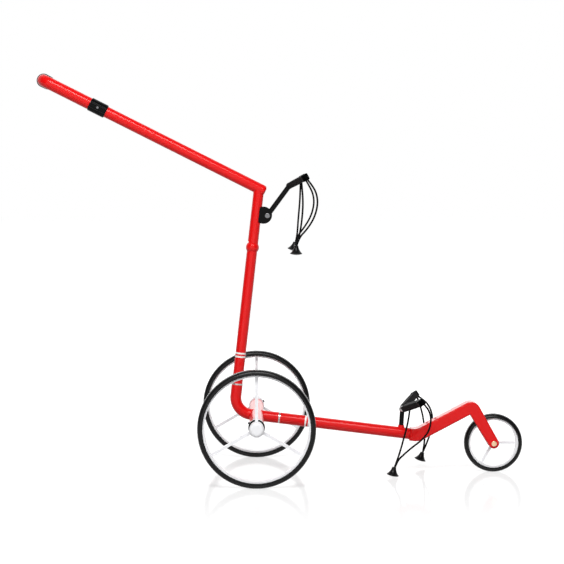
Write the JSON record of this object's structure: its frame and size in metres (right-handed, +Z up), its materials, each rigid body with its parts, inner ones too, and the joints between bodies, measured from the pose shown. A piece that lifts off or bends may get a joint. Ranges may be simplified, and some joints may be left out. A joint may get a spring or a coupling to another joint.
{
  "type": "golf push cart",
  "caption": "Folding three-wheel golf push cart with a bent tube frame, a tall mast, a sloping handle with a side grip, padded bag cradles with elastic cords, and spoked wheels.",
  "frame": {"origin": "on the floor, under the middle of the cart's length and width", "axes": "+X forward to the nose wheel, +Y to the cart's left, +Z up"},
  "size_m": [1.2504, 0.66, 1.0254],
  "materials": {
    "red_paint": "high gloss",
    "black_paint": "satin",
    "bright_trim": "polished",
    "black_plastic": "fine moulded grain",
    "toggle_plastic": "satin moulded",
    "tyre_rubber": "matte",
    "grip_rubber": "ribbed, matte",
    "cast_wheel": "bright satin",
    "yoke_metal": "satin",
    "steel": "brushed",
    "elastic_cord": "braided sleeve"
  },
  "bodies": {
    "frame": {"frame_elbow": "red_paint", "lower_tube": "red_paint", "mast_tube": "red_paint", "mast_spigot": "bright_trim", "trim_rings": "bright_trim", "axle_housing": "red_paint", "left_axle_socket": "cast_wheel", "right_axle_socket": "cast_wheel", "axle_seals": "black_plastic", "knuckle_cheeks": "red_paint", "knuckle_bolt": "steel", "front_spine": "red_paint", "front_fork": "red_paint", "front_axle_bolt": "steel", "front_axle_nut": "steel", "front_axle_spacers": "black_plastic", "lower_post_collar": "red_paint", "lower_post": "black_paint", "lower_yoke": "yoke_metal", "lower_pads": "grip_rubber", "lower_pad_caps": "black_plastic", "lower_right_cord": "elastic_cord", "lower_left_cord": "elastic_cord", "lower_right_toggle": "toggle_plastic", "lower_left_toggle": "toggle_plastic"},
    "upper_mast": {"knuckle_tongue": "red_paint", "upper_mast_tube": "red_paint", "handle_tube": "red_paint", "bracket_base": "black_plastic", "bracket_bolt": "steel", "bracket_nut": "steel"},
    "mast_knob": {"fold_knob": "black_plastic"},
    "handle_end": {"grip_tube": "red_paint", "hand_grip": "grip_rubber", "grip_end_plug": "black_plastic"},
    "handle_clamp": {"clamp_sleeve": "black_plastic", "clamp_screw": "steel"},
    "upper_cradle": {"bracket_rod": "black_paint", "upper_yoke": "black_paint", "upper_pads": "grip_rubber", "upper_pad_caps": "black_plastic", "upper_right_cord": "elastic_cord", "upper_left_cord": "elastic_cord", "upper_right_toggle": "toggle_plastic", "upper_left_toggle": "toggle_plastic"},
    "right_axle": {"right_stub_axle": "steel"},
    "left_axle": {"left_stub_axle": "steel"},
    "right_rear_wheel": {"right_tyre": "tyre_rubber", "right_wheel": "cast_wheel", "right_bearings": "steel", "right_hub_cap": "cast_wheel"},
    "left_rear_wheel": {"left_tyre": "tyre_rubber", "left_wheel": "cast_wheel", "left_bearings": "steel", "left_hub_cap": "cast_wheel"},
    "right_latch": {"right_latch_button": "black_plastic"},
    "left_latch": {"left_latch_button": "black_plastic"},
    "nose_wheel": {"front_tyre": "tyre_rubber", "front_wheel": "cast_wheel", "front_bearings": "steel"}
  },
  "joints": [
    {"name": "mast_fold", "type": "hinge", "parent": "frame", "child": "upper_mast", "pos_m": [-0.07079, 0, 0.57921], "axis": [0, -1, 0], "range_deg": [0, 85]},
    {"name": "mast_knob_turn", "type": "hinge", "parent": "frame", "child": "mast_knob", "pos_m": [-0.07079, 0, 0.57921], "axis": [0, 1, 0], "range_deg": [0, 180]},
    {"name": "handle_slide", "type": "slide", "parent": "upper_mast", "child": "handle_end", "axis": [-0.8938, 0, 0.4485], "range_m": [-0.06, 0.03]},
    {"name": "handle_clamp_turn", "type": "hinge", "parent": "handle_end", "child": "handle_clamp", "pos_m": [-0.46592, 0, 0.93664], "axis": [-0.8938, 0, 0.4485], "range_deg": [0, 90]},
    {"name": "upper_cradle_fold", "type": "hinge", "parent": "upper_mast", "child": "upper_cradle", "pos_m": [-0.03234, 0, 0.66093], "axis": [0, -1, 0], "range_deg": [-20, 30]},
    {"name": "right_wheel_pull", "type": "slide", "parent": "frame", "child": "right_axle", "axis": [0, -1, 0], "range_m": [0, 0.08]},
    {"name": "right_wheel_spin", "type": "hinge", "parent": "right_axle", "child": "right_rear_wheel", "pos_m": [-0.0603, -0.3, 0.145], "axis": [0, 1, 0], "continuous": true},
    {"name": "right_latch_press", "type": "slide", "parent": "frame", "child": "right_latch", "axis": [0.866, 0, -0.5], "range_m": [0, 0.002], "stiffness_N_per_m": 500, "springref_m": -0.002},
    {"name": "left_wheel_pull", "type": "slide", "parent": "frame", "child": "left_axle", "axis": [0, 1, 0], "range_m": [0, 0.08]},
    {"name": "left_wheel_spin", "type": "hinge", "parent": "left_axle", "child": "left_rear_wheel", "pos_m": [-0.0603, 0.3, 0.145], "axis": [0, 1, 0], "continuous": true},
    {"name": "left_latch_press", "type": "slide", "parent": "frame", "child": "left_latch", "axis": [-0.866, 0, -0.5], "range_m": [0, 0.002], "stiffness_N_per_m": 500, "springref_m": -0.002},
    {"name": "nose_wheel_spin", "type": "hinge", "parent": "frame", "child": "nose_wheel", "pos_m": [0.5502, 0, 0.075], "axis": [0, 1, 0], "continuous": true}
  ]
}
